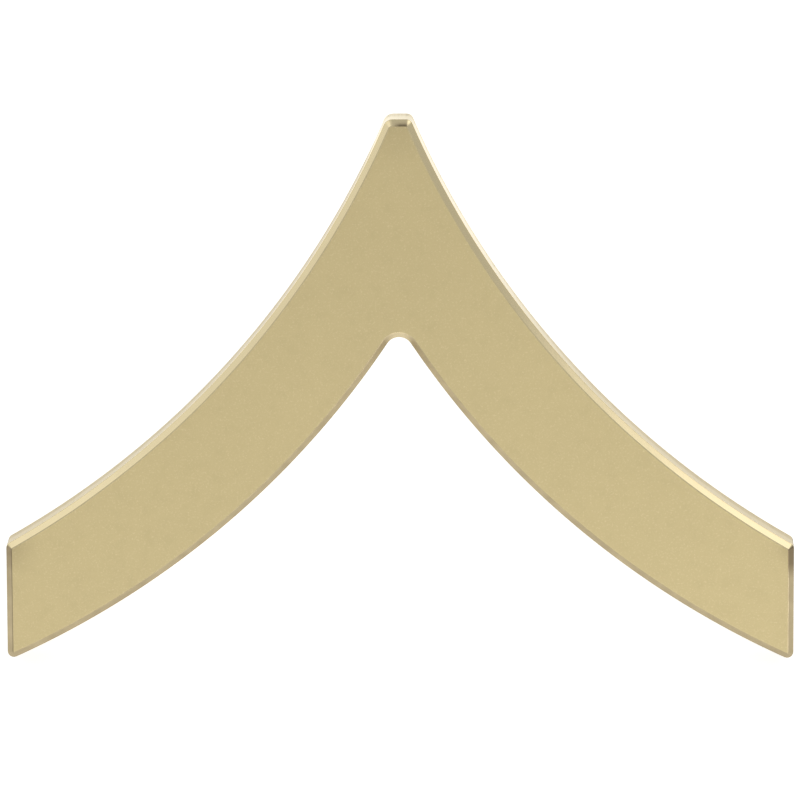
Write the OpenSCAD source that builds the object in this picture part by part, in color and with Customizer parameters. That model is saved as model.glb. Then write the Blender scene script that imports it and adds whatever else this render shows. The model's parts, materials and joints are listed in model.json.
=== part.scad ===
// Single chevron collar badge: a struck metal plate with two clutch posts soldered to its back.
// The plate is drawn flat, with x across the badge, y up the badge and z out of its face.
// Then it leans back until it stands on its two lower corners and on the tips of its posts.

/* [Plate] */
// Width across the two arm ends
width = 25.4; // [23:0.1:30]
// Height from the lower corners to the blunt peak
height = 17.75; // [17:0.05:18.5]
// How far the sharp peak is trimmed down
peak_trim = 1; // [0.5:0.05:1.4]
// Height at which the lower edges of the arms would meet in a sharp inner corner
notch_height = 11.05; // [10:0.05:12]
// Radius that rounds the inner corner
notch_r = 0.45; // [0.2:0.05:1]
// Height of the upright cut that ends each arm
end_height = 3.85; // [3.2:0.05:4.4]
// Radius of the four curved edges
arc_r = 29; // [25:0.5:40]
// Thickness of the plate
plate_t = 1.4; // [1:0.05:2]
// Width and depth of the bevel around the face
bevel = 0.18; // [0.08:0.01:0.3]

/* [Posts] */
// Distance of each post from the centre line
post_x = 7; // [5:0.1:9]
// Diameter of a post
post_d = 1.1; // [0.8:0.05:1.3]
// Length of a post from the back of the plate to its point
post_length = 8; // [7:0.1:10]
// Length of the pointed end
point_length = 1.3; // [0.8:0.1:2]
// Radius at the very point
point_r = 0.15; // [0.1:0.01:0.25]
// Diameter of the solder fillet where it meets the plate
solder_d = 2.2; // [1.6:0.1:2.6]
// Height of the solder fillet along the post
solder_h = 0.5; // [0.3:0.05:0.8]

/* [Hidden] */
$fn = 180;

gold_face = [0.78, 0.70, 0.51];
post_gold = [0.80, 0.68, 0.40];

// Cutters run this far past what they cut, and a post sinks this far into the plate
over = 0.5;

half_width = width / 2;
post_r = post_d / 2;
wall_h = plate_t - bevel;

// Each curved edge on the right is an arc from the arm's end to the centre line.
// Its centre lies above and outside the arm, so the arm sweeps down in a hollow curve.
function arc_centre(end_y, axis_y) =
    let (rise = axis_y - end_y)
    let (chord = norm([half_width, rise]))
    let (reach = sqrt(arc_r * arc_r - chord * chord / 4))
    [half_width, end_y + axis_y] / 2 + [rise, half_width] * reach / chord;

// Height of a curved edge at a distance x from the centre line
function arc_y(centre, r, x) = centre.y - sqrt(r * r - pow(x - centre.x, 2));

upper_centre = arc_centre(end_height, height + peak_trim);
lower_centre = arc_centre(0, notch_height);

// The round inner corner is a small arc beside both lower edges, with its centre below the metal.
// It dips a hair into them, so it crosses them where it would only touch.
dip = 0.002;
notch_centre = [0, arc_y(lower_centre, arc_r + notch_r - dip, 0)];

// The posts stand on the middle of the arms
post_y = (arc_y(upper_centre, arc_r, post_x) + arc_y(lower_centre, arc_r, post_x)) / 2;

// The angle between the plate and the surface that it stands on, where the round points touch it
ball_z = post_length - point_r;
lean = atan2(ball_z, post_y) + asin(point_r / norm([post_y, ball_z]));

// Front and rear of the leaning badge, to put the origin under the middle of its box
foot_y = arc_y(lower_centre, arc_r - bevel, half_width - bevel);
front = min(-wall_h * sin(lean), foot_y * cos(lean) - plate_t * sin(lean));
rear = max(height * cos(lean), post_y * cos(lean) + ball_z * sin(lean) + point_r);

// Disc with a bevelled rim. Its edge makes the lower edge of an arm.
module disc() {
    rotate_extrude()
        polygon([
            [0, 0], [arc_r, 0], [arc_r, wall_h],
            [arc_r - bevel, plate_t], [0, plate_t]
        ]);
}

// Disc that flares at the face. Cut away, it leaves a hollow edge with its bevel.
module flared_disc(r) {
    rotate_extrude()
        polygon([
            [0, -over], [r, -over], [r, wall_h],
            [r + bevel + over, plate_t + over], [0, plate_t + over]
        ]);
}

// A child at a centre on the right, and again mirrored on the left
module both_sides(centre) {
    for (side = [-1, 1])
        translate([side * centre.x, centre.y, 0])
            children();
}

// Metal that rounds the inner corner, between the two lower edges
module notch_fill() {
    to_arm = (lower_centre - notch_centre) / (arc_r + notch_r);
    in_arm = notch_centre + to_arm * (notch_r + over);
    difference() {
        linear_extrude(plate_t)
            polygon([notch_centre, in_arm, [0, notch_height + over], [-in_arm.x, in_arm.y]]);
        translate(notch_centre) flared_disc(notch_r);
    }
}

// Bar with bevelled edges, as long as the badge is high. It trims the arm ends upright.
module end_trim() {
    translate([0, height + over, 0])
        rotate([90, 0, 0])
            linear_extrude(height + 2 * over)
                polygon([
                    [-half_width, 0], [half_width, 0],
                    [half_width, wall_h], [half_width - bevel, plate_t],
                    [bevel - half_width, plate_t], [-half_width, wall_h]
                ]);
}

// Bar with one bevelled edge, as long as the badge is wide. It trims the peak blunt.
module peak_trim_bar() {
    rotate([90, 0, 90])
        linear_extrude(width + 2 * over, center = true)
            polygon([
                [-over, 0], [height, 0], [height, wall_h],
                [height - bevel, plate_t], [-over, plate_t]
            ]);
}

module plate() {
    color(gold_face)
        intersection() {
            end_trim();
            peak_trim_bar();
            difference() {
                union() {
                    both_sides(lower_centre) disc();
                    notch_fill();
                }
                both_sides(upper_centre) flared_disc(arc_r);
            }
        }
}

// A round post with a blunt point and the solder fillet at its root, pointing down from the back
module post() {
    color(post_gold) {
        rotate_extrude() {
            polygon([
                [0, over], [post_r, over], [post_r, point_length - post_length],
                [point_r, -ball_z], [0, -ball_z]
            ]);
            intersection() {
                translate([0, -ball_z]) circle(point_r);
                translate([0, -post_length]) square(point_r);
            }
        }
        translate([0, 0, -solder_h])
            cylinder(h = solder_h, d1 = post_d, d2 = solder_d);
    }
}

module chevron() {
    translate([0, -(front + rear) / 2, 0])
        rotate([lean, 0, 0]) {
            plate();
            both_sides([post_x, post_y]) post();
        }
}

chevron();
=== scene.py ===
import json
import math
from collections import namedtuple

import bmesh
import bpy
from bpy.props import FloatProperty, FloatVectorProperty, PointerProperty
from mathutils import Matrix, Vector, noise


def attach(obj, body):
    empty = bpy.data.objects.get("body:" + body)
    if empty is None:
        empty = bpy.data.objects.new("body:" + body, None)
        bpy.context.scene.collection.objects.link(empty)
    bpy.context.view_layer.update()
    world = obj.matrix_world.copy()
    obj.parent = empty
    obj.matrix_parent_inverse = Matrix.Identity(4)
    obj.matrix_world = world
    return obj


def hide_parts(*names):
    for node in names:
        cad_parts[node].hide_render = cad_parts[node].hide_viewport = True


bl_info = {
    "name": "Chevron collar badge",
    "version": (1, 0, 0),
    "blender": (4, 5, 0),
    "location": "3D View > Sidebar > Badge",
    "description": "Dresses a struck chevron badge in gold and sets it in a small studio",
    "category": "Object",
}

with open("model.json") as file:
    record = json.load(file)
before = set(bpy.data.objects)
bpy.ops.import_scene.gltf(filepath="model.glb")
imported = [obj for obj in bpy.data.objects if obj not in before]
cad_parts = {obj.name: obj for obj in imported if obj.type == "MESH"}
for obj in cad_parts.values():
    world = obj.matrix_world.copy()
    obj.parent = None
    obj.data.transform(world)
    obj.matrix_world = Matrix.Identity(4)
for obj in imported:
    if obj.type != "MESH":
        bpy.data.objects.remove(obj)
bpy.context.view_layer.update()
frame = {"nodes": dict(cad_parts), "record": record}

MM = 0.001
NODE = "chevron"
BODY = "root"


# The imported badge

def circle_through(first, second, third):
    """Centre and radius of the circle through three points."""
    a, b = second - first, third - first
    square_a, square_b = a.length_squared, b.length_squared
    arm = Vector((b.y * square_a - a.y * square_b, a.x * square_b - b.x * square_a)) / (2 * a.cross(b))
    return first + arm, arm.length


class PackedBadge:
    """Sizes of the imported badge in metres, read along its own axes.

    Its x runs across the badge, its y up the badge and its z out of the face. The back is at z = 0.
    """

    NEAR = 0.02 * MM
    # Outward directions of the right lower edge, a third and two thirds of the way along it
    UNDER_ARM = [Vector((-0.6, -0.8)), Vector((-0.75, -0.66))]
    # Places across the rounded inner corner
    IN_NOTCH = [-0.3 * MM, 0, 0.3 * MM]

    def __init__(self):
        mounts = {m["name"]: m for m in frame["record"]["mounts"]}
        out = -Vector(mounts["back"]["axis"])
        across = Vector((1, 0, 0))
        up = out.cross(across)
        on_back = Vector(mounts["back"]["pos_m"])
        foot = on_back - up * (on_back.z / up.z)
        # Takes the badge from lying flat to leaning on its posts
        self.lean = Matrix.Translation(foot) @ Matrix((across, up, out)).transposed().to_4x4()
        flat = self.lean.inverted()
        points = [flat @ v.co for v in frame["nodes"][NODE].data.vertices]
        self.read_plate(points)
        self.read_posts(points, [flat @ Vector(mounts[n]["pos_m"]) for n in ("post_left", "post_right")])
        self.post_radius = mounts["post_left"]["dims"]["r_mm"] * MM

    def read_plate(self, points):
        back = [p for p in points if abs(p.z) < self.NEAR]
        self.half_width = max(p.x for p in back)
        self.height = max(p.y for p in back)
        self.thickness = max(p.z for p in points)
        at_end = [p for p in points if p.x > self.half_width - self.NEAR]
        self.wall_height = max(p.z for p in at_end)
        self.end_height = max(p.y for p in at_end if abs(p.z) < self.NEAR)
        self.tip_half = max(p.x for p in back if p.y > self.height - self.NEAR)
        self.read_lower_edges(back)

    def read_lower_edges(self, back):
        """The arc under an arm, the height where both arcs would meet, and the rounding of that corner."""
        foot = Vector((self.half_width, 0))
        bulge = [max((p.xy for p in back if p.x > 0), key=way.dot) for way in self.UNDER_ARM]
        centre, self.arc_radius = circle_through(foot, *bulge)
        self.notch_height = centre.y - math.sqrt(self.arc_radius ** 2 - centre.x ** 2)
        low = [p.xy for p in back if p.y < self.notch_height]
        in_corner = [min(low, key=lambda spot: abs(spot.x - x)) for x in self.IN_NOTCH]
        self.notch_radius = circle_through(*in_corner)[1]

    def read_posts(self, points, shanks):
        self.post_places = [s.xy for s in shanks]
        nearest = [(p, min((p.xy - q).length for q in self.post_places)) for p in points]
        self.post_length = -min(p.z for p in points)
        self.solder_radius = min(r for p, r in nearest if abs(p.z) < self.NEAR)
        shank_radius = max(r for p, r in nearest if p.z < -self.post_length / 2)
        on_shank = [p.z for p, r in nearest if abs(r - shank_radius) < self.NEAR and p.z < -self.NEAR]
        self.solder_height = -max(on_shank)
        self.point_length = self.post_length + min(on_shank)


badge = PackedBadge()


# Sizes and finishes that a user may change

def length(name, description, default, low=0.0):
    return FloatProperty(name=name, description=description, default=default, min=low,
                         precision=5, subtype="DISTANCE", unit="LENGTH")


def share(name, description, default):
    return FloatProperty(name=name, description=description, default=default, min=0, max=1, subtype="FACTOR")


def angle(name, description, degrees):
    return FloatProperty(name=name, description=description, default=math.radians(degrees),
                         subtype="ANGLE", unit="ROTATION")


def colour(name, description, default):
    return FloatVectorProperty(name=name, description=description, default=default, min=0, max=1,
                               size=3, subtype="COLOR")


class PlateSizes(bpy.types.PropertyGroup):
    """Sizes of the struck plate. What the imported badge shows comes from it."""
    half_width: length("Half width", "From the middle to an arm's end", badge.half_width)
    height: length("Height", "From the lower corners to the blunt tip", badge.height)
    end_height: length("End height", "Height of the upright cut that ends an arm", badge.end_height)
    notch_height: length("Notch height", "Height where the lower edges would meet", badge.notch_height)
    notch_round: length("Notch rounding", "Radius of the inner corner", badge.notch_radius)
    tip_half: length("Half tip", "Half the width of the blunt tip", badge.tip_half)
    arc_radius: length("Arc radius", "Radius of the four hollow edges", badge.arc_radius)
    thickness: length("Thickness", "From the back to the face", badge.thickness)
    bevel: length("Bevel", "Width of the bevel round the face", badge.thickness - badge.wall_height)
    corner_round: length("Corner rounding", "Radius of the outer corners, seen from the face", 0.2 * MM)
    tip_round_left: length("Left tip rounding", "Radius of the tip's left corner", 0.34 * MM)
    tip_round_right: length("Right tip rounding", "Radius of the tip's right corner", 0.22 * MM)
    edge_round: length("Edge rounding", "Radius of the bevel's two edges", 0.05 * MM)
    back_round: length("Back rounding", "Radius of the edge round the back", 0.09 * MM)
    hand_sway: length("Hand sway", "How far the polished bevel strays from an even width", 0.009 * MM)


class PostSizes(bpy.types.PropertyGroup):
    """Sizes of the two posts and of the solder that holds them."""
    radius: length("Radius", "Radius of a post", badge.post_radius)
    length: length("Length", "From the back to the post's point", badge.post_length)
    point_length: length("Point length", "Length of the tapered end", badge.point_length)
    point_radius: length("Point radius", "Radius at the very point", 0.15 * MM)
    shoulder_round: length("Shoulder rounding", "Radius where the taper begins", 0.4 * MM)
    sink: length("Sink", "How far a post goes into the plate", 0.06 * MM)
    solder_radius: length("Solder radius", "Radius of the solder on the plate", badge.solder_radius)
    solder_height: length("Solder height", "How far the solder climbs the post", badge.solder_height)
    solder_hollow: share("Solder hollow", "How far the fillet sinks from a straight cone", 0.6)
    solder_lumps: share("Solder lumps", "How uneven the solder's rim is", 0.05)


class FinishTones(bpy.types.PropertyGroup):
    """Colours and polish of the gold plate."""
    gold: colour("Gold", "The satin face", (0.616, 0.512, 0.276))
    bright_gold: colour("Bright gold", "Polished edges and posts", (0.98, 0.837, 0.515))
    # Wall gold is darker than the face's gold partly as painted shade, standing in for the shaded floor that
    # the wall reflects.
    wall_gold: colour("Wall gold", "The trimmed side wall", (0.52, 0.42, 0.212))
    solder_gold: colour("Solder gold", "Plating over the solder", (0.93, 0.8, 0.52))
    # A painted highlight: the side wall round the tip and beside it takes this brighter gold.
    highlight_gold: colour("Burnished gold", "The side wall round the tip", (0.86, 0.76, 0.52))
    # The dark tone of the painted shade along the edges and on the face by the tip and the ends' tops; the
    # solder's pits also darken toward it.
    dark: colour("Dark edge", "Where the plating has dulled along an edge", (0.22, 0.17, 0.1))
    satin: share("Satin", "Roughness of the face", 0.42)
    polish: share("Polish", "Roughness of the bevel", 0.16)
    wall: share("Wall", "Roughness of the side wall", 0.3)
    back: share("Back", "Roughness of the back", 0.4)


class StudioSettings(bpy.types.PropertyGroup):
    """Camera, floor and light."""
    distance: length("Distance", "From the camera to the badge", 250 * MM)
    picture_width: length("Picture width", "How much the picture spans at the badge", 25.81 * MM)
    aim_height: length("Aim height", "How far up the badge the camera aims", 8.36 * MM)
    look_up: angle("Look up", "How far the camera stands above the face's own line", 11.8)
    look_right: angle("Look right", "How far the camera stands to the right of that line", 1.1)
    roll: angle("Roll", "How far the picture turns to the left", 0.2)
    floor_size: length("Floor size", "Side of the floor", 1.2)
    floor_colour: colour("Floor colour", "Colour of the floor", (0.9, 0.9, 0.9))
    floor_glow: FloatProperty(name="Floor glow", description="Light that comes up through the floor",
                              default=0.74, min=0)
    surround: FloatProperty(name="Surround", description="Brightness of the plain room",
                            default=0.458, min=0)


# Shader maths

class Value:
    """A shader socket that can stand in an expression, such as 0.3 + 0.1 * grain."""

    def __init__(self, metal, outlet):
        self.metal = metal
        self.outlet = outlet

    def maths(self, operation, first, second):
        return self.metal.node("ShaderNodeMath", {"operation": operation}, {0: first, 1: second})

    def __add__(self, other):
        return self.maths("ADD", self, other)

    def __sub__(self, other):
        return self.maths("SUBTRACT", self, other)

    def __rsub__(self, other):
        return self.maths("SUBTRACT", other, self)

    def __mul__(self, other):
        return self.maths("MULTIPLY", self, other)

    def least(self, other):
        return self.maths("MINIMUM", self, other)

    __radd__ = __add__
    __rmul__ = __mul__


class Metal:
    """A finish under construction: one material and the nodes that drive its shader."""

    COLUMN = 190

    def __init__(self, name):
        self.material = bpy.data.materials.new(name)
        self.material.use_nodes = True
        self.tree = self.material.node_tree
        self.shader = self.tree.nodes["Principled BSDF"]
        self.shader.inputs["Metallic"].default_value = 1
        self.place = self.kept("place", "Vector")

    def node(self, kind, settings=None, sockets=None, outlet=0):
        """Adds a node, sets it up, then gives its sockets their values or links."""
        node = self.tree.nodes.new(kind)
        node.location.x = -self.COLUMN * len(self.tree.nodes)
        for key, value in (settings or {}).items():
            setattr(node, key, value)
        for key, value in (sockets or {}).items():
            self.feed(node.inputs[key], value)
        return Value(self, node.outputs[outlet])

    def feed(self, inlet, value):
        if isinstance(value, Value):
            self.tree.links.new(value.outlet, inlet)
        elif inlet.type == "RGBA":
            inlet.default_value = (*value, 1)
        else:
            inlet.default_value = value

    def kept(self, name, outlet):
        """What the mesh's vertices keep under a name."""
        return self.node("ShaderNodeAttribute", {"attribute_name": name}, outlet=outlet)

    def stretched(self, x, y, z):
        """The place on the badge in millimetres, times a number along each of its axes."""
        return self.node("ShaderNodeVectorMath", {"operation": "MULTIPLY"}, {0: self.place, 1: (x, y, z)})

    def away(self, x, y, z):
        """Distance in millimetres from a spot on the badge."""
        return self.node("ShaderNodeVectorMath", {"operation": "DISTANCE"},
                         {0: self.place, 1: (x / MM, y / MM, z / MM)}, outlet="Value")

    def axis(self, name):
        """The place's distance along one of the badge's axes, in millimetres."""
        return self.node("ShaderNodeSeparateXYZ", None, {0: self.place}, outlet=name)

    def grain(self, where, scale=1.0, detail=2.0, rough=0.5):
        """Noise from 0 to 1 around 0.5."""
        return self.node("ShaderNodeTexNoise", None,
                         {"Vector": where, "Scale": scale, "Detail": detail, "Roughness": rough})

    def smooth(self, value, low, high):
        """0 below low and 1 above high, with a soft step between."""
        return self.node("ShaderNodeMapRange", {"interpolation_type": "SMOOTHSTEP"},
                         {"Value": value, "From Min": low, "From Max": high})

    def mixed(self, factor, first, second):
        """A colour between two others."""
        return self.node("ShaderNodeMix", {"data_type": "RGBA"}, {0: factor, 6: first, 7: second}, outlet=2)

    def bumped(self, height, depth):
        """The surface's normal over a relief as deep as that, in metres."""
        return self.node("ShaderNodeBump", None, {"Height": height, "Distance": depth, "Strength": 1.0})

    def done(self, **inlets):
        """Feeds the shader, by the names of its sockets with _ for a space, and hands over the material."""
        for name, value in inlets.items():
            self.feed(self.shader.inputs[name.replace("_", " ")], value)
        return self.material


# Finishes

def scaled(tone, factor):
    return tuple(min(1.0, c * factor) for c in tone)


def scratches(metal, along, across, scale=1.0):
    """Fine lines, 1 on a line and 0 beside it, drawn out along one of the badge's axes."""
    streaks = metal.grain(metal.stretched(along, across, across), scale, 3, 0.6)
    return metal.smooth(streaks, 0.62, 0.74)


def satin_face(tones):
    """The struck face: a fine blasted grain and a few hairlines, with painted shade by the tip and the ends'
    tops.
    """
    metal = Metal("satin_face")
    clouds = metal.grain(metal.place, 0.32, 3, 0.55)
    mottle = metal.grain(metal.place, 2.4, 4, 0.6)
    blast = metal.grain(metal.place, 17, 3, 0.65)
    hairs = scratches(metal, 0.5, 9) + scratches(metal, 8, 0.6)
    tone = metal.mixed(0.3 + 0.5 * clouds, scaled(tones.gold, 0.95), scaled(tones.gold, 1.05))
    tone = metal.mixed(0.22 * metal.smooth(mottle, 0.45, 0.75), tone, scaled(tones.gold, 0.86))
    tone = metal.mixed(0.35 * metal.smooth(blast, 0.52, 0.72), tone, scaled(tones.bright_gold, 0.85))
    # Painted shade: the face darkens toward the dark tone near the tip and near the tops of both ends.
    from_tip = metal.away(0, badge.height, badge.thickness)
    from_left = metal.away(-badge.half_width, badge.end_height, badge.thickness)
    from_right = metal.away(badge.half_width, badge.end_height, badge.thickness)
    dulled = 0.14 * metal.smooth(from_tip + 0.5 * mottle, 1.9, 0.3)
    dulled += 0.3 * metal.smooth(from_left + 0.5 * mottle, 1.5, 0.2)
    dulled += 0.3 * metal.smooth(from_right + 0.5 * mottle, 1.1, 0.2)
    tone = metal.mixed(dulled, tone, tones.dark)
    return metal.done(
        Base_Color=tone,
        Roughness=tones.satin - 0.05 + 0.07 * mottle + 0.05 * clouds - 0.05 * hairs,
        Normal=metal.bumped(blast + 0.5 * mottle - 0.12 * hairs, 0.0022 * MM))


def polished_bevel(tones):
    """The polished bevel, darkened to brown by painted shade where the mesh says so."""
    metal = Metal("polished_bevel")
    dulled = metal.kept("dulled", "Fac")
    patches = metal.grain(metal.place, 1.5, 3, 0.55)
    lines = metal.grain(metal.stretched(7, 7, 2), 3, 2, 0.6)
    amount = dulled * (0.8 + 0.34 * patches)
    tone = metal.mixed(0.6 * patches, scaled(tones.bright_gold, 1.02), scaled(tones.bright_gold, 0.93))
    return metal.done(
        Base_Color=metal.mixed(amount, tone, tones.dark),
        Roughness=tones.polish + 0.06 * patches + 0.16 * amount,
        Normal=metal.bumped(0.6 * lines + patches, 0.0015 * MM))


def trimmed_wall(tones):
    """The side wall that the trimming die left: fine upright lines, smoother near the face.

    Its colour takes a painted highlight on the tip and on both sides of it, farther down the right arm than
    the left, and painted shade where the mesh says so.
    """
    metal = Metal("trimmed_wall")
    dulled = metal.kept("dulled", "Fac")
    lines = metal.grain(metal.stretched(9, 9, 0.5), 2.2, 4, 0.65)
    broad = metal.grain(metal.stretched(1.4, 1.4, 0.7), 1, 2, 0.5)
    across, up = metal.axis("X"), metal.axis("Y")
    torn = metal.smooth(metal.axis("Z") + 0.35 * broad, 0.95, 0.6)
    tone = metal.mixed(0.25 + 0.5 * broad, tones.wall_gold, scaled(tones.wall_gold, 1.1))
    # Painted highlight: the wall takes the brighter highlight gold on the tip and beside it, farther down
    # the right arm than the left.
    top = badge.height / MM
    on_arm = metal.smooth(up, top - 0.05, top - 0.4)
    on_upper_edge = metal.smooth(up + 1.2 * across, 13.5, 14.9)
    right = on_upper_edge * metal.smooth(across, 0, 0.3) * metal.smooth(across, 6.5, 1.5)
    left = metal.smooth(across, 0, -0.3) * metal.smooth(up, top - 1.8, top - 0.6)
    on_tip = (1 - on_arm) * (0.85 - 0.5 * across)
    tone = metal.mixed(on_arm * (right + left) + on_tip, tone, tones.highlight_gold)
    tone = metal.mixed(torn * (0.45 * metal.smooth(lines, 0.48, 0.7)), tone, scaled(tones.wall_gold, 0.72))
    # Painted shade from the mesh darkens the wall toward the dark tone.
    return metal.done(
        Base_Color=metal.mixed(0.8 * dulled, tone, tones.dark),
        Roughness=tones.wall - 0.03 + 0.1 * torn + 0.06 * lines + 0.1 * dulled,
        Normal=metal.bumped(lines * (0.35 + 0.65 * torn) + 0.5 * broad, 0.006 * MM))


def plain_back(tones):
    """The flat back: lapped along the badge, with a warm bloom round each post."""
    metal = Metal("plain_back")
    lapped = metal.grain(metal.stretched(0.55, 13, 13), 1, 4, 0.65)
    clouds = metal.grain(metal.place, 0.55, 3, 0.6)
    grit = metal.grain(metal.place, 14, 2, 0.6)
    hairs = scratches(metal, 6, 0.5)
    left, right = (metal.away(*place, 0) for place in badge.post_places)
    near = left.least(right)
    rim = badge.solder_radius / MM
    bloom = metal.smooth(near + 0.5 * clouds, 2.1 * rim, 1.1 * rim)
    tone = metal.mixed(clouds, scaled(tones.gold, 0.92), scaled(tones.gold, 1.05))
    tone = metal.mixed(0.3 * metal.smooth(lapped, 0.5, 0.75), tone, tones.bright_gold)
    tone = metal.mixed(0.45 * bloom, tone, scaled(tones.wall_gold, 0.82))
    return metal.done(
        Base_Color=tone,
        Roughness=tones.back - 0.04 + 0.1 * clouds + 0.08 * bloom - 0.06 * hairs,
        Normal=metal.bumped(lapped + 0.3 * grit + 0.3 * clouds - 0.15 * hairs, 0.004 * MM))


def drawn_wire(tones):
    """The posts: drawn wire with lengthwise lines, and turned rings on the taper."""
    metal = Metal("drawn_wire")
    lines = metal.grain(metal.stretched(11, 11, 0.35), 1.6, 3, 0.6)
    rings = metal.grain(metal.stretched(0.6, 0.6, 16), 1, 2, 0.6)
    shoulder = (badge.point_length - badge.post_length) / MM
    taper = metal.smooth(metal.axis("Z"), shoulder + 0.05, shoulder - 0.05)
    marks = lines * (1 - taper) + rings * taper
    tone = metal.mixed(metal.smooth(marks, 0.4, 0.7), scaled(tones.bright_gold, 0.9), tones.bright_gold)
    return metal.done(
        Base_Color=tone,
        Roughness=0.18 + 0.12 * marks + 0.04 * taper,
        Normal=metal.bumped(marks, 0.004 * MM))


def plated_solder(tones):
    """The solder, lumpy and a little paler under its plating."""
    metal = Metal("plated_solder")
    lumps = metal.grain(metal.place, 2.3, 3, 0.55)
    pits = metal.smooth(metal.grain(metal.place, 9, 2, 0.6), 0.63, 0.76)
    tone = metal.mixed(lumps, scaled(tones.solder_gold, 0.86), tones.solder_gold)
    return metal.done(
        Base_Color=metal.mixed(0.5 * pits, tone, tones.dark),
        Roughness=0.26 + 0.16 * lumps + 0.15 * pits,
        Normal=metal.bumped(lumps - 0.4 * pits, 0.02 * MM))


# Mesh making

class Piece:
    """A mesh made in the badge's own axes.

    Each vertex keeps its place in millimetres and how much painted shade darkens its colour.
    """

    WELD = 0.0005 * MM

    def __init__(self, name, *finishes):
        self.name = name
        self.finishes = finishes
        self.mesh = bmesh.new()
        self.place = self.mesh.verts.layers.float_vector.new("place")
        self.dulled = self.mesh.verts.layers.float.new("dulled")

    def vertex(self, point, dulled=0.0):
        vertex = self.mesh.verts.new(point)
        vertex[self.place] = Vector(point) / MM
        vertex[self.dulled] = dulled
        return vertex

    def face(self, corners, finish):
        """A face between vertices, with one of the piece's finishes."""
        face = self.mesh.faces.new(corners)
        face.smooth = True
        face.material_index = [f.name for f in self.finishes].index(finish)

    def strip(self, lower, upper, finish, closed=True):
        """Faces between two rows of vertices, to the left of the lower row as seen from outside."""
        last = 0 if closed else 1
        for i in range(len(lower) - last):
            after = (i + 1) % len(lower)
            self.face((lower[i], lower[after], upper[after], upper[i]), finish)

    def finished(self):
        """Welds and closes the mesh, leans it with the badge and puts it on the badge's body."""
        bmesh.ops.remove_doubles(self.mesh, verts=self.mesh.verts, dist=self.WELD)
        bmesh.ops.recalc_face_normals(self.mesh, faces=self.mesh.faces)
        data = bpy.data.meshes.new(self.name)
        self.mesh.to_mesh(data)
        self.mesh.free()
        data.transform(badge.lean)
        for material in self.finishes:
            data.materials.append(material)
        piece = bpy.data.objects.new(self.name, data)
        bpy.context.scene.collection.objects.link(piece)
        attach(piece, BODY)
        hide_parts(NODE)
        return piece


def soft_step(low, high, value):
    """0 at low, 1 at high and smooth between, for numbers in either order."""
    t = max(0.0, min(1.0, (value - low) / (high - low)))
    return t * t * (3 - 2 * t)


# The plate's outline

class StraightEdge:
    """A straight stretch of the outline, at a distance from the origin along its outward normal."""

    def __init__(self, normal, reach):
        self.normal = Vector(normal)
        self.reach = reach

    def gap(self, point):
        """How far a point lies outside the edge."""
        return point.dot(self.normal) - self.reach

    def outward(self, point):
        return self.normal

    def between(self, start, end, parts):
        return [(start.lerp(end, k / parts), self.normal) for k in range(parts + 1)]


class CurvedEdge:
    """A stretch along a circle. The metal lies inside the circle, or outside it where the edge is hollow."""

    def __init__(self, centre, radius, hollow):
        self.centre = centre
        self.radius = radius
        self.side = -1 if hollow else 1

    def gap(self, point):
        return self.side * ((point - self.centre).length - self.radius)

    def outward(self, point):
        return self.side * (point - self.centre).normalized()

    def between(self, start, end, parts):
        return swept(self.centre, start, end, parts, self.side)


def swept(centre, start, end, parts, side):
    """(point, outward normal) along the short arc from start to end round a centre."""
    arm = start - centre
    turn = math.atan2(arm.cross(end - centre), arm.dot(end - centre))
    arms = [Matrix.Rotation(turn * k / parts, 2) @ arm for k in range(parts + 1)]
    return [(centre + a, side * a.normalized()) for a in arms]


Corner = namedtuple("Corner", "name place radius hollow parts")


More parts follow.
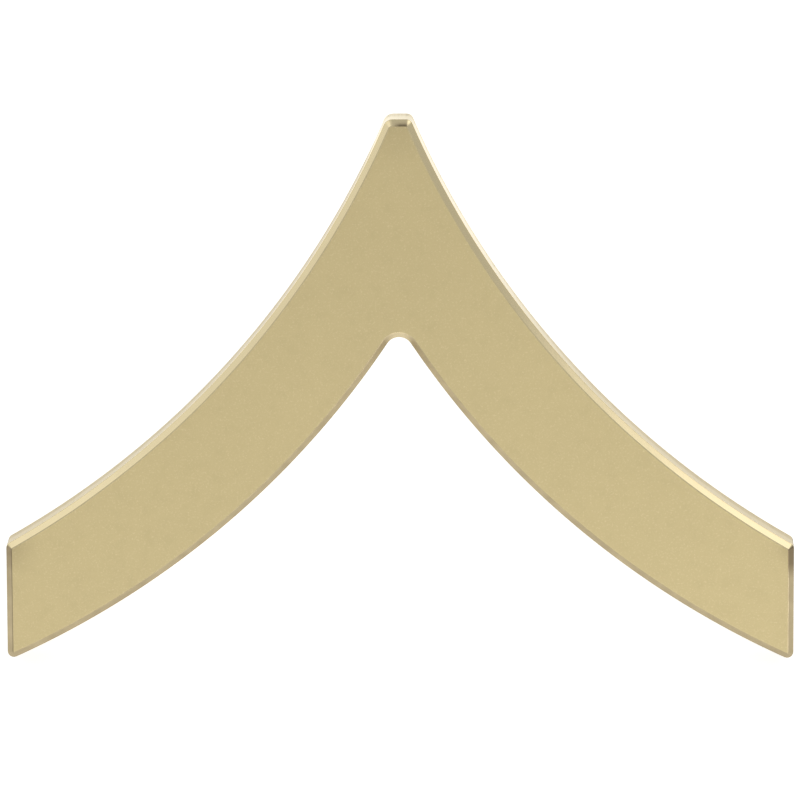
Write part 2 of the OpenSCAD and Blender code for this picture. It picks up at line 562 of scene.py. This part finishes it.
class Outline:
    """The plate's outline, seen from the face and taken counterclockwise from the notch."""

    ARC_PARTS = 112
    END_PARTS = 14
    TIP_PARTS = 4
    CORNER_PARTS = 6
    SHARPEST = 0.03 * MM

    def __init__(self, sizes):
        half, top = sizes.half_width, sizes.height
        end, notch = sizes.end_height, sizes.notch_height
        upper = self.arc_centre(Vector((sizes.tip_half, top)), Vector((half, end)), sizes.arc_radius)
        lower = self.arc_centre(Vector((0, notch)), Vector((half, 0)), sizes.arc_radius)
        mirror = Vector((-1, 1))
        self.edges = {
            "lower_right": CurvedEdge(lower, sizes.arc_radius, False),
            "end_right": StraightEdge((1, 0), half),
            "upper_right": CurvedEdge(upper, sizes.arc_radius, True),
            "tip": StraightEdge((0, 1), top),
            "upper_left": CurvedEdge(upper * mirror, sizes.arc_radius, True),
            "end_left": StraightEdge((-1, 0), half),
            "lower_left": CurvedEdge(lower * mirror, sizes.arc_radius, False),
        }
        self.parts = {
            name: self.END_PARTS if "end" in name else self.TIP_PARTS if name == "tip" else self.ARC_PARTS
            for name in self.edges
        }
        # The notch has as many parts as the tip and its two corners, which face it across the metal
        few, around_tip = self.CORNER_PARTS, 2 * self.CORNER_PARTS + self.TIP_PARTS
        outer = sizes.corner_round
        # Each corner comes just before the edge in the same row of self.edges
        self.corners = [
            Corner("notch", Vector((0, notch)), sizes.notch_round, True, around_tip),
            Corner("foot_right", Vector((half, 0)), outer, False, few),
            Corner("top_right", Vector((half, end)), outer, False, few),
            Corner("tip_right", Vector((sizes.tip_half, top)), sizes.tip_round_right, False, few),
            Corner("tip_left", Vector((-sizes.tip_half, top)), sizes.tip_round_left, False, few),
            Corner("top_left", Vector((-half, end)), outer, False, few),
            Corner("foot_left", Vector((-half, 0)), outer, False, few),
        ]

    def arc_centre(self, high, low, radius):
        """Centre of a circle through two points, above and outside them."""
        chord = low - high
        rise = math.sqrt(radius ** 2 - chord.length_squared / 4)
        return (high + low) / 2 + Vector((-chord.y, chord.x)).normalized() * rise

    def meeting(self, first, second, depth, guess):
        """The point that lies at one depth inside both of two edges."""
        for _ in range(12):
            gaps = Vector((first.gap(guess) + depth, second.gap(guess) + depth))
            guess = guess - Matrix((first.outward(guess), second.outward(guess))).inverted() @ gaps
        return guess

    def chains(self, inset):
        """The outline moved in by inset: each edge and each corner as a list of (point, outward normal)."""
        edges = list(self.edges.items())
        rounds = {}
        for k, corner in enumerate(self.corners):
            before, after = edges[k - 1][1], edges[k][1]
            if corner.hollow:
                side, radius, depth = -1, corner.radius + inset, -corner.radius
            else:
                side, radius = 1, max(corner.radius - inset, self.SHARPEST)
                depth = inset + radius
            centre = self.meeting(before, after, depth, corner.place)
            start = centre + before.outward(centre) * side * radius
            end = centre + after.outward(centre) * side * radius
            rounds[corner.name] = swept(centre, start, end, corner.parts, side)
        names = [c.name for c in self.corners]
        stretches = {}
        for k, (name, edge) in enumerate(edges):
            start, end = rounds[names[k]][-1][0], rounds[names[(k + 1) % len(names)]][0][0]
            stretches[name] = edge.between(start, end, self.parts[name])
        return {**rounds, **stretches}

    def ring(self, chains):
        """All of the outline as one closed row, each point once."""
        row = []
        for corner, edge in zip(self.corners, self.edges):
            row += chains[corner.name][:-1] + chains[edge][:-1]
        return row


def joined(*chains):
    """Chains that follow one another as one, their shared points once."""
    row = list(chains[0])
    for chain in chains[1:]:
        row += chain[1:]
    return row


def straight(start, end, parts):
    return [start.lerp(end, k / parts) for k in range(parts + 1)]


def patch(bottom, top, left, right):
    """Rows of points that fill the space between four rows of points."""
    rows = []
    for j in range(len(left)):
        t = j / (len(left) - 1)
        row = []
        for i in range(len(bottom)):
            s = i / (len(bottom) - 1)
            corners = (bottom[0].lerp(bottom[-1], s)).lerp(top[0].lerp(top[-1], s), t)
            row.append(left[j].lerp(right[j], s) + bottom[i].lerp(top[i], t) - corners)
        rows.append(row)
    return rows


# The plate's section

Bend = namedtuple("Bend", "inset height radius finish flat flat_rings")
Ring = namedtuple("Ring", "inset height finish")

# The rings go this far inside the bevel, on the face and on the back
BORDER = 0.13 * MM
BEND_STEPS = 5
# A ring this close to each end of a bend keeps the flats flat under smooth shading
BEND_MARGIN = 0.012 * MM


def plate_section(sizes):
    """The section from the back round the edge to the face.

    Each bend is rounded, has a finish of its own, and starts a flat with its finish and its extra rings.
    """
    wall, inside = sizes.thickness - sizes.bevel, sizes.bevel + BORDER
    return [
        Bend(inside, 0, 0, None, "plain_back", 0),
        Bend(0, 0, sizes.back_round, "trimmed_wall", "trimmed_wall", 4),
        Bend(0, wall, sizes.edge_round, "polished_bevel", "polished_bevel", 2),
        Bend(sizes.bevel, sizes.thickness, sizes.edge_round, "polished_bevel", "satin_face", 0),
        Bend(inside, sizes.thickness, 0, None, None, 0),
    ]


def section_rings(bends):
    """Rings along a section, each with the finish of the strip that follows it."""
    rings = [Ring(bends[0].inset, bends[0].height, bends[0].flat)]
    for before, bend, after in zip(bends, bends[1:], bends[2:]):
        here = Vector((bend.inset, bend.height))
        come = (here - Vector((before.inset, before.height))).normalized()
        leave = (Vector((after.inset, after.height)) - here).normalized()
        turn = math.atan2(come.cross(leave), come.dot(leave))
        reach = bend.radius * math.tan(abs(turn) / 2)
        start = here - come * reach
        centre = here + (leave - come).normalized() * bend.radius / math.cos(turn / 2)
        last = Vector((rings[-1].inset, rings[-1].height))
        flat_end = start - come * BEND_MARGIN
        for k in range(1, before.flat_rings + 1):
            rings.append(Ring(*last.lerp(flat_end, k / (before.flat_rings + 1)), before.flat))
        rings.append(Ring(*flat_end, before.flat))
        for k in range(BEND_STEPS):
            arm = Matrix.Rotation(turn * k / BEND_STEPS, 2) @ (start - centre)
            rings.append(Ring(*(centre + arm), bend.finish))
        end = here + leave * reach
        rings.append(Ring(*end, bend.flat))
        rings.append(Ring(*(end + leave * BEND_MARGIN), bend.flat))
    rings.append(Ring(bends[-1].inset, bends[-1].height, None))
    return rings


def painted_shade_at(point, outward, raised, sizes):
    """How much painted shade darkens a place on the edge, from 0 to 1.

    The painted shade lies along the lower edges, less so in the notch, and along the ends, most of all at
    the right one's top corner, and on the line where the tip's bevel meets the face, a little to the right.
    raised is 0 on the side wall and 1 on the face.
    """
    from_end, from_top = sizes.half_width - abs(point.x), sizes.height - point.y
    low = soft_step(0.1, 0.45, -outward.y) * (0.7 + 0.3 * soft_step(0.1 * MM, 0.5 * MM, abs(point.x)))
    end = soft_step(0.7, 0.98, abs(outward.x)) * soft_step(0.9 * MM, 0.3 * MM, from_end)
    rise = point.y / sizes.end_height
    corner = 0.3 * soft_step(0.72, 0.87, rise) if point.x > 0 else 0.16 * soft_step(0.55, 0.95, rise)
    tip = soft_step(0.5, 0.85, outward.y) * soft_step(0.8 * MM, 0.5 * MM, from_top)
    tip *= soft_step(0.3 * MM, 0.1 * MM, abs(point.x - 0.13 * MM)) * raised ** 3
    return max(0.76 * low, (0.76 + corner) * end, 0.9 * tip)


def hand_sway(point, amount):
    """How far the polisher's hand strays here, in metres."""
    slow = noise.noise(Vector((*(point / (2.6 * MM)), 0)))
    quick = noise.noise(Vector((*(point / (0.9 * MM)), 7)))
    return amount * (0.8 * slow + 0.35 * quick)


def lay_ring(piece, outline, ring, sizes):
    """The ring's row of vertices, and its points as the outline's edges and corners."""
    raised = soft_step(sizes.thickness - sizes.bevel, sizes.thickness, ring.height)
    sway = sizes.hand_sway * raised
    chains = {
        name: [(p + n * hand_sway(p, sway), n) for p, n in chain]
        for name, chain in outline.chains(ring.inset).items()
    }
    # Each vertex takes the painted shade of its place on the edge.
    row = [
        piece.vertex((*p, ring.height), painted_shade_at(p, n, raised, sizes)) for p, n in outline.ring(chains)
    ]
    return row, {name: [p for p, n in chain] for name, chain in chains.items()}


def struck_plate(sizes, tones):
    piece = Piece("chevron_plate", satin_face(tones), polished_bevel(tones),
                  trimmed_wall(tones), plain_back(tones))
    outline = Outline(sizes)
    rings = section_rings(plate_section(sizes))
    laid = [lay_ring(piece, outline, ring, sizes) for ring in rings]
    rows = [row for row, chains in laid]
    for ring, row, next_row in zip(rings, rows, rows[1:]):
        piece.strip(row, next_row, ring.finish)
    first, last = rings[0], rings[-1]
    fill_flat(piece, outline, first.height, laid[0][1], "plain_back")
    fill_flat(piece, outline, last.height, laid[-1][1], "satin_face")
    return piece.finished()


def fill_flat(piece, outline, height, chains, finish):
    """Fills the inside of a ring in three patches: the left arm, the middle and the right arm."""
    ladder = 2 * outline.CORNER_PARTS + outline.END_PARTS
    c = chains
    seam_left = straight(c["notch"][0], c["tip_left"][-1], ladder)
    seam_right = straight(c["notch"][-1], c["tip_right"][0], ladder)
    right_end = joined(c["foot_right"], c["end_right"], c["top_right"])
    left_end = joined(c["top_left"], c["end_left"], c["foot_left"])[::-1]
    tip = joined(c["tip_right"], c["tip"], c["tip_left"])[::-1]
    patches = [
        patch(c["lower_left"], c["upper_left"][::-1], left_end, seam_left),
        patch(c["notch"], tip, seam_left, seam_right),
        patch(c["lower_right"], c["upper_right"][::-1], seam_right, right_end),
    ]
    for points in patches:
        rows = [[piece.vertex((*p, height)) for p in row] for row in points]
        for lower, upper in zip(rows, rows[1:]):
            piece.strip(lower, upper, finish, closed=False)


# Turned pieces

SECTORS = 72


def turned(piece, centre, profile, finish, lumps=None):
    """A solid of revolution under the plate. profile is a list of (radius, depth) between two poles."""
    turns = [math.tau * k / SECTORS for k in range(SECTORS)]
    ways = [Vector((math.cos(turn), math.sin(turn))) for turn in turns]
    rows = []
    for radius, depth in profile:
        row = []
        for way in ways:
            spread = radius * (1 + (lumps(way, depth) if lumps else 0))
            row.append(piece.vertex((*(centre + way * spread), -depth)))
        rows.append(row)
    for lower, upper in zip(rows, rows[1:]):
        piece.strip(lower, upper, finish)
    for row, (_, depth) in ((rows[0], profile[0]), (rows[-1], profile[-1])):
        pole = piece.vertex((*centre, -depth))
        for before, after in zip(row, row[1:] + row[:1]):
            piece.face((before, after, pole), finish)


def post_profile(sizes):
    """(radius, depth) from inside the plate to the rounded point."""
    shoulder = sizes.length - sizes.point_length
    ball = sizes.length - sizes.point_radius
    slope = math.atan2(sizes.radius - sizes.point_radius, ball - shoulder)
    soft = sizes.shoulder_round
    reach = soft * math.tan(slope / 2)
    # The sunk end closes in three rings, and the shank has a few along it
    profile = [(sizes.radius * f, -sizes.sink) for f in (0.4, 0.9, 1)]
    profile += [(sizes.radius, d * shoulder) for d in (0.02, 0.25, 0.5, 0.75)]
    for k in range(5):
        turn = slope * k / 4
        narrowed = sizes.radius - soft * (1 - math.cos(turn))
        profile.append((narrowed, shoulder - reach + soft * math.sin(turn)))
    # The ball takes over where its own slope is the taper's
    turns = [slope + (math.pi / 2 - slope) * k / 7 for k in range(7)]
    round_point = [
        (sizes.point_radius * math.cos(turn), ball + sizes.point_radius * math.sin(turn)) for turn in turns
    ]
    start, touch = Vector(profile[-1]), Vector(round_point[0])
    profile += [tuple(start.lerp(touch, k / 4)) for k in range(1, 4)]
    return profile + round_point


def solder_profile(sizes):
    """(radius, depth) of the solder from its rim on the plate up to the post, hollow as solder is."""
    steps = 12
    ring = sizes.solder_radius - sizes.radius
    profile = [(sizes.radius * 0.8, 0), (sizes.solder_radius * 0.97, 0)]
    for k in range(steps + 1):
        q = k / steps
        turn = q * math.pi / 2
        cone = Vector((sizes.solder_radius - ring * q, sizes.solder_height * q))
        fillet = Vector((sizes.solder_radius - ring * math.sin(turn),
                         sizes.solder_height * (1 - math.cos(turn))))
        profile.append(tuple(cone.lerp(fillet, sizes.solder_hollow)))
    profile.append((sizes.radius * 0.8, sizes.solder_height))
    return profile


def make_posts(sizes, tones):
    wire, solder = drawn_wire(tones), plated_solder(tones)
    for side, centre in zip(("left", "right"), badge.post_places):
        post = Piece(f"post_{side}", wire)
        turned(post, centre, post_profile(sizes), wire.name)
        post.finished()

        def lumps(way, depth):
            """Uneven at the rim and always inside it, round where the solder meets the post."""
            rim = 1 - depth / sizes.solder_height
            spot = Vector((*(way * 1.6), centre.x / MM))
            return sizes.solder_lumps * rim * (noise.noise(spot) - 0.6)

        bead = Piece(f"solder_{side}", solder)
        turned(bead, centre, solder_profile(sizes), solder.name, lumps=lumps)
        bead.finished()


# The studio

Softbox = namedtuple("Softbox", "name azimuth elevation distance width height power")

# Azimuth 0 is in front of the badge, 90 to its right and 180 behind it, in degrees; sizes in metres
SOFTBOXES = [
    Softbox("softbox_right", 116, 47, 0.36, 0.20, 0.22, 0.056),
    Softbox("softbox_right_high", 121, 54, 0.36, 0.22, 0.20, 0.042),
    Softbox("softbox_left", -104, 31, 0.36, 0.24, 0.42, 0.082),
    Softbox("softbox_left_high", -120, 52, 0.36, 0.22, 0.22, 0.024),
    Softbox("strip_front", 0, 10, 0.30, 0.30, 0.09, 0.122),
    Softbox("strip_front_right", 42, 10, 0.30, 0.16, 0.09, 0.184),
]


def from_badge(azimuth, elevation):
    """The direction of an azimuth and an elevation in degrees."""
    a, e = math.radians(azimuth), math.radians(elevation)
    return Vector((math.sin(a) * math.cos(e), -math.cos(a) * math.cos(e), math.sin(e)))


def hang_softbox(box, aim):
    light = bpy.data.lights.new(box.name, "AREA")
    light.shape = "RECTANGLE"
    light.size, light.size_y = box.width, box.height
    light.energy = box.power
    lamp = bpy.data.objects.new(box.name, light)
    direction = from_badge(box.azimuth, box.elevation)
    lamp.location = aim + direction * box.distance
    lamp.rotation_euler = direction.to_track_quat("Z", "Y").to_euler()
    lamp.visible_camera = False
    bpy.context.scene.collection.objects.link(lamp)


def lay_floor(studio):
    paint = bpy.data.materials.new("pale_floor")
    paint.use_nodes = True
    shader = paint.node_tree.nodes["Principled BSDF"]
    tone = (*studio.floor_colour, 1)
    shader.inputs["Base Color"].default_value = tone
    shader.inputs["Roughness"].default_value = 0.9
    shader.inputs["Specular IOR Level"].default_value = 0.2
    shader.inputs["Emission Color"].default_value = tone
    shader.inputs["Emission Strength"].default_value = studio.floor_glow
    mesh = bmesh.new()
    bmesh.ops.create_grid(mesh, x_segments=4, y_segments=4, size=studio.floor_size / 2)
    data = bpy.data.meshes.new("floor")
    mesh.to_mesh(data)
    mesh.free()
    data.materials.append(paint)
    floor = bpy.data.objects.new("floor", data)
    bpy.context.scene.collection.objects.link(floor)


def place_camera(studio, aim):
    """Stands the camera off the face's own line by two small angles, then rolls it."""
    right, up, out = (badge.lean.to_3x3().col[k] for k in range(3))
    turn = Matrix.Rotation(studio.look_right, 3, up) @ Matrix.Rotation(-studio.look_up, 3, right)
    back = turn @ out
    side = Matrix.Rotation(studio.look_right, 3, up) @ right
    rise = back.cross(side)
    across = side * math.cos(studio.roll) - rise * math.sin(studio.roll)
    data = bpy.data.cameras.new("camera")
    data.lens = data.sensor_width * studio.distance / studio.picture_width
    data.clip_start, data.clip_end = studio.distance / 10, studio.distance * 10
    camera = bpy.data.objects.new("camera", data)
    axes = Matrix((across, back.cross(across), back)).transposed()
    camera.matrix_world = Matrix.Translation(aim + back * studio.distance) @ axes.to_4x4()
    bpy.context.scene.collection.objects.link(camera)
    bpy.context.scene.camera = camera


def fill_room(studio):
    world = bpy.data.worlds.new("plain_room")
    world.use_nodes = True
    sky = world.node_tree.nodes["Background"]
    sky.inputs["Color"].default_value = (1, 1, 1, 1)
    sky.inputs["Strength"].default_value = studio.surround
    bpy.context.scene.world = world
    bpy.context.scene.view_settings.view_transform = "Standard"


# Operators, panel and registration

class BADGE_OT_strike_plate(bpy.types.Operator):
    """Makes the chevron plate with its satin face, polished bevel, trimmed wall and plain back"""
    bl_idname = "badge.strike_plate"
    bl_label = "Strike plate"

    def execute(self, context):
        struck_plate(context.scene.badge_plate, context.scene.badge_tones)
        return {"FINISHED"}


class BADGE_OT_solder_posts(bpy.types.Operator):
    """Makes the two pointed posts and the solder that holds them to the back"""
    bl_idname = "badge.solder_posts"
    bl_label = "Solder posts"

    def execute(self, context):
        make_posts(context.scene.badge_posts, context.scene.badge_tones)
        return {"FINISHED"}


class BADGE_OT_set_studio(bpy.types.Operator):
    """Lays the pale floor, hangs the softboxes and stands the camera"""
    bl_idname = "badge.set_studio"
    bl_label = "Set studio"

    def execute(self, context):
        studio = context.scene.badge_studio
        aim = badge.lean @ Vector((0, studio.aim_height, 0))
        place_camera(studio, aim)
        lay_floor(studio)
        fill_room(studio)
        for box in SOFTBOXES:
            hang_softbox(box, aim)
        return {"FINISHED"}


class BADGE_PT_sidebar(bpy.types.Panel):
    """The badge's operators, each over its settings"""
    bl_idname = "BADGE_PT_sidebar"
    bl_label = "Chevron badge"
    bl_space_type = "VIEW_3D"
    bl_region_type = "UI"
    bl_category = "Badge"

    STEPS = [
        (BADGE_OT_strike_plate, ["badge_plate", "badge_tones"]),
        (BADGE_OT_solder_posts, ["badge_posts"]),
        (BADGE_OT_set_studio, ["badge_studio"]),
    ]

    def draw(self, context):
        for operator, groups in self.STEPS:
            box = self.layout.box()
            box.operator(operator.bl_idname)
            for group in groups:
                settings = getattr(context.scene, group)
                for name in settings.__annotations__:
                    box.prop(settings, name)


SETTINGS = {
    "badge_plate": PlateSizes,
    "badge_posts": PostSizes,
    "badge_tones": FinishTones,
    "badge_studio": StudioSettings,
}
CLASSES = [
    *SETTINGS.values(), BADGE_OT_strike_plate, BADGE_OT_solder_posts, BADGE_OT_set_studio, BADGE_PT_sidebar,
]


def register():
    for item in CLASSES:
        bpy.utils.register_class(item)
    for name, group in SETTINGS.items():
        setattr(bpy.types.Scene, name, PointerProperty(type=group))


def unregister():
    for name in SETTINGS:
        delattr(bpy.types.Scene, name)
    for item in reversed(CLASSES):
        bpy.utils.unregister_class(item)


def main():
    register()
    bpy.ops.badge.strike_plate()
    bpy.ops.badge.solder_posts()
    bpy.ops.badge.set_studio()


if __name__ == "__main__":
    main()
